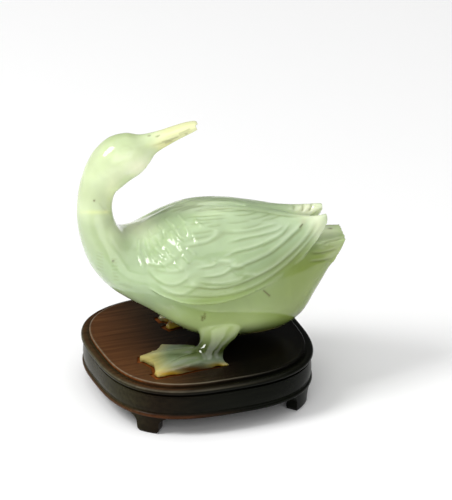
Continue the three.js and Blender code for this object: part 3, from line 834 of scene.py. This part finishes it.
block = bmesh.new()
profile = [block.verts.new((half_length - inset, 0, z)) for inset, z in stand_profile]
edges = [block.edges.new(pair) for pair in zip(profile, profile[1:])]
bmesh.ops.spin(block, geom=profile + edges, cent=(0, 0, 0), axis=(0, 0, 1), angle=2 * math.pi,
               steps=plan_steps, use_merge=True)
bmesh.ops.remove_doubles(block, verts=block.verts, dist=merge_gap)
round_block = places(block)
radius = np.hypot(round_block[:, 0], round_block[:, 1])
angle = np.arctan2(round_block[:, 1], round_block[:, 0])
edge = plan_radius(angle)
inset = half_length - radius
on_field = radius * (edge - moulded_edge) / (half_length - moulded_edge)
reach = np.where(inset < moulded_edge, edge - inset, on_field)
move_to(block, np.stack([reach * np.cos(angle), reach * np.sin(angle), round_block[:, 2]], 1))
bmesh.ops.recalc_face_normals(block, faces=block.faces)

# A corner foot is narrow at the floor, swells just above it, and curves out into the apron like a bracket
corners = (45, 135, 225, 315)
foot_width, foot_swell, foot_flare = 7.2, 3.4, 1.2
swell_none, swell_full = -0.15, 0.22
bracket_width, bracket_start, bracket_curve = 4.6, 0.55, 2.2
foot_inset, foot_rake, foot_depth = 1.3, 0.9, 5.5
foot_round, round_top = 0.5, 0.1
foot_in_apron, foot_cuts = 0.5, 15


def stand_foot(corner):
    arm = plan_radius(corner) - foot_inset

    def place(u, v, w):
        straight = foot_width + foot_swell * ease(w, swell_none, swell_full) + foot_flare * w
        bracket = bracket_width * np.clip((w - bracket_start) / (1 - bracket_start), 0, 1) ** bracket_curve
        angle = corner + (u - 0.5) * (straight + 2 * bracket) / arm
        inset = foot_inset + foot_rake * (1 - w) + foot_round * (1 - ease(w, 0, round_top))
        reach = plan_radius(angle) - inset - (1 - v) * foot_depth
        return np.stack([reach * np.cos(angle), reach * np.sin(angle), w * (foot_height + foot_in_apron)], 1)
    bm = bmesh.new()
    bmesh.ops.create_cube(bm, size=1)
    bmesh.ops.subdivide_edges(bm, edges=bm.edges[:], cuts=foot_cuts, use_grid_fill=True)
    cube = places(bm) + 0.5
    move_to(bm, place(*cube.T))
    bmesh.ops.recalc_face_normals(bm, faces=bm.faces)
    return bm


def stand_object(name, bm):
    bmesh.ops.scale(bm, vec=(1 / mm_per_metre, 1 / mm_per_metre, 1 / mm_per_metre), verts=bm.verts)
    bmesh.ops.translate(bm, vec=(stand_centre.x, stand_centre.y, 0), verts=bm.verts)
    return as_object(name, bm)


# A socket is the shape of a foot, made wider all round and sunk into the top
socket_depth, socket_rise = 1.0, 0.002
web_clearance, toe_clearance, toe_points = 1.6, 1.5, 12


def toe_outline(tip):
    reach, ahead = toe_reach(tip)
    aside = np.array((-ahead[1], ahead[0]))
    share = np.linspace(0, 1, toe_points)
    half = toe_half * (1 - toe_taper * share) * (1 - toe_blunting * share ** toe_tip_power) + toe_clearance
    ends = ankle + ahead * (reach * share + toe_clearance * share ** toe_tip_power)[:, None]
    return np.concatenate([ends + aside * half[:, None], (ends - aside * half[:, None])[::-1]])


def web_outline(toes):
    outline = np.array(foot_outline(toes))
    spread = outline - outline.mean(0)
    reach = np.linalg.norm(spread, axis=1)[:, None]
    return outline.mean(0) + spread * (reach + web_clearance) / reach


def sunk(outline, side, back):
    floor_line = np.column_stack([(outline + (back, 0)) * (1, side), np.full(len(outline), -socket_depth)])
    bm = bmesh.new()
    base = bm.faces.new([bm.verts.new(p) for p in in_frame(floor_line)])
    bmesh.ops.translate(bm, vec=(0, 0, socket_rise), verts=pulled_out(bm, [base]))
    bmesh.ops.recalc_face_normals(bm, faces=bm.faces)
    return as_object("socket", bm)


def sockets(toes, side, back):
    outlines = [web_outline(toes)] + [toe_outline(tip) for tip in toes]
    return [sunk(outline, side, back) for outline in outlines]


stand = stand_object("stand", block)
stand_feet = [stand_object("stand_foot", stand_foot(math.radians(corner))) for corner in corners]
stand_sockets = sockets(near_toes, 1, 0) + sockets(far_toes, -1, far_foot_back)
for work, shapes in (("UNION", stand_feet), ("DIFFERENCE", stand_sockets)):
    for shape in shapes:
        cut = stand.modifiers.new(work, "BOOLEAN")
        cut.operation, cut.solver, cut.object = work, "MANIFOLD", shape
stand_mesh = as_shown(stand)
for shape in stand_feet + stand_sockets:
    bpy.data.objects.remove(shape)
sharp_edge = math.radians(35)
shade_smooth(stand_mesh)
stand_mesh.set_sharp_from_angle(angle=sharp_edge)

# Rosewood. It is nearly black, and raw brown in the sockets. At the end under the breast the top is painted
# lighter and redder, as lit, its side has a painted grey sheen and its mouldings painted highlights. Places
# are millimetres from the middle of the top.
wood_colour = (12, 11, 8)
wood_tones = [
    # Painted light: the top turns lighter and redder towards the breast's end; the sides are kept near
    # black, and at that end get a painted grey sheen
    ("towards the breast", (40, 30, 20), 1, [("x", 14, -20)]),
    ("lit end", (86, 54, 30), 1, [("x", -10, -46)]),
    ("sides", (12, 14, 8), 0.9, [("z", -1.0, -2.2)]),
    ("side at the lit end", (52, 50, 32), 0.7, [("z", -1.0, -2.2), ("x", -34, -48)]),
    # Painted highlight: reddish along the lower bead, towards the breast's end
    ("painted highlight on the lower bead", (92, 52, 28), 0.5, [("z", -14.2, -15.2), ("z", -16.4, -15.8), ("x", 10, -40)]),
    ("sockets", (120, 64, 24), 1,
     [("z", -0.2, -0.8), ("z", -1.3, -1.1), ("x", 4, -14), ("near the sockets", 0, 1)]),
]
sockets_middle, sockets_reach = -10, 44
# Painted highlights: thin pale lines along the field's lip and the rim's bead, fading out away from the
# breast's end
lip_inset, lip_width, lip_low, lip_full, lip_depth = 4.1, 0.3, -0.5, -0.1, 0.6
bead_inset, bead_width, bead_low, bead_full, bead_depth = 0.3, 0.3, -2.6, -1.9, 0.4
painted_edge_highlight_colour, edge_highlight_none, edge_highlight_full = (136, 128, 108), 30, -30

wood_at = np.empty(3 * len(stand_mesh.vertices))
stand_mesh.vertices.foreach_get("co", wood_at)
wood_x, wood_y, wood_z = ((wood_at.reshape(-1, 3) - np.array(stand_centre)) * mm_per_metre).T
edge_inset = plan_radius(np.arctan2(wood_y, wood_x)) - np.hypot(wood_x, wood_y)
near_sockets = np.hypot(wood_x - sockets_middle, wood_y) < sockets_reach
measures = {"x": wood_x, "z": wood_z, "near the sockets": near_sockets}
patina_and_painted_light = np.tile(linear(wood_colour), (len(wood_x), 1))
patina_and_painted_light = toned(patina_and_painted_light, wood_tones, measures)
# Painted highlights on the lip and the bead
lip = bell(edge_inset - lip_inset, lip_width) * ease(wood_z, lip_low, lip_full) * lip_depth
bead = bell(edge_inset - bead_inset, bead_width) * ease(wood_z, bead_low, bead_full) * bead_depth
patina_and_painted_light = blend(patina_and_painted_light, painted_edge_highlight_colour, (lip + bead) * ease(wood_x, edge_highlight_none, edge_highlight_full))
write_colour(stand_mesh, "patina_and_painted_light", patina_and_painted_light)

rosewood, rosewood_shader = clouded("rosewood", "patina_and_painted_light", (40, 620, 500), {"Detail": 6}, 0.7, 1.25)
set_inputs(rosewood_shader, {"Roughness": 0.26, "Specular IOR Level": 0.05})
stand_mesh.materials.clear()
stand_mesh.materials.append(rosewood)
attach(stand, "root")
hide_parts("wooden_stand")

# Floor and light. A plain pale table carries the figure. A small window-like lamp stands at the upper left,
# a broad one in front and one overhead, and the room adds a weak even fill.
table_size, table_white = 6, 0.97
bm = bmesh.new()
bmesh.ops.create_grid(bm, x_segments=1, y_segments=1, size=table_size)
floor = as_object("floor", bm)
pale = bpy.data.materials.new("pale_table")
pale.use_nodes = True
set_inputs(pale.node_tree.nodes["Principled BSDF"], {
    "Base Color": (table_white, table_white, table_white, 1), "Roughness": 0.9, "Specular IOR Level": 0,
})
floor.data.materials.append(pale)
lamp_aim = Vector((0, 0, 0.06))


def lamp(name, place, width, height, power):
    data = bpy.data.lights.new(name, "AREA")
    data.shape, data.size, data.size_y, data.energy = "RECTANGLE", width, height, power
    made = in_scene(name, data)
    made.location = place
    made.rotation_euler = (lamp_aim - Vector(place)).to_track_quat("-Z", "Y").to_euler()


lamp("window", (-0.76, -0.04, 0.86), 0.34, 0.52, 7.5)
lamp("front", (-0.4, -1.8, 1.0), 2.2, 1.4, 16)
lamp("overhead", (0, 0, 2.0), 3, 3, 32)
fill_strength = 0.15
world = bpy.data.worlds.new("studio")
bpy.context.scene.world = world
world.use_nodes = True
set_inputs(world.node_tree.nodes["Background"], {"Color": (1, 1, 1, 1), "Strength": fill_strength})
